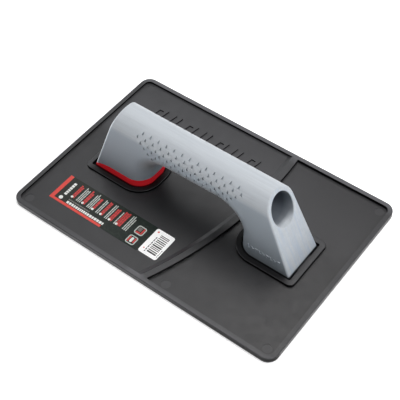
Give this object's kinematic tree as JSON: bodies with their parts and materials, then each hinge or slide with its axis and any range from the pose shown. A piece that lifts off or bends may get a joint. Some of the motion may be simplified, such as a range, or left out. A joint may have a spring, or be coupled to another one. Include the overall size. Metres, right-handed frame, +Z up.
{
  "type": "plastic finishing float",
  "caption": "Rectangular ribbed plastic finishing float with a clip-on hollow arched handle, open-ended grip and a sliding red release latch at the rear foot.",
  "frame": {"origin": "centre of the flat working face, at the bottom of the tool", "axes": "+X along the grip towards its open end, +Y across the blade, +Z up away from the working face"},
  "size_m": [0.2704, 0.1844, 0.0738],
  "materials": {
    "blade": "moulded, satin, finely grained",
    "handle": "moulded, satin",
    "latch": "semi-gloss red moulding",
    "spring": "drawn spring wire",
    "retainer": "moulded",
    "screws": "zinc plated",
    "label": "printed film",
    "sticker": "coated white paper"
  },
  "bodies": {
    "float": {"blade": "blade", "handle_shell": "handle", "latch_spring": "spring", "latch_retainer": "retainer", "retainer_screws": "screws", "product_label": "label", "barcode_sticker": "sticker"},
    "latch": {"release_latch": "latch"}
  },
  "joints": [
    {"name": "latch_slide", "type": "slide", "parent": "float", "child": "latch", "axis": [-1, 0, 0], "range_m": [0, 0.0016], "stiffness_N_per_m": 1500, "springref_m": -0.0015, "deforming": ["latch_spring"]}
  ]
}
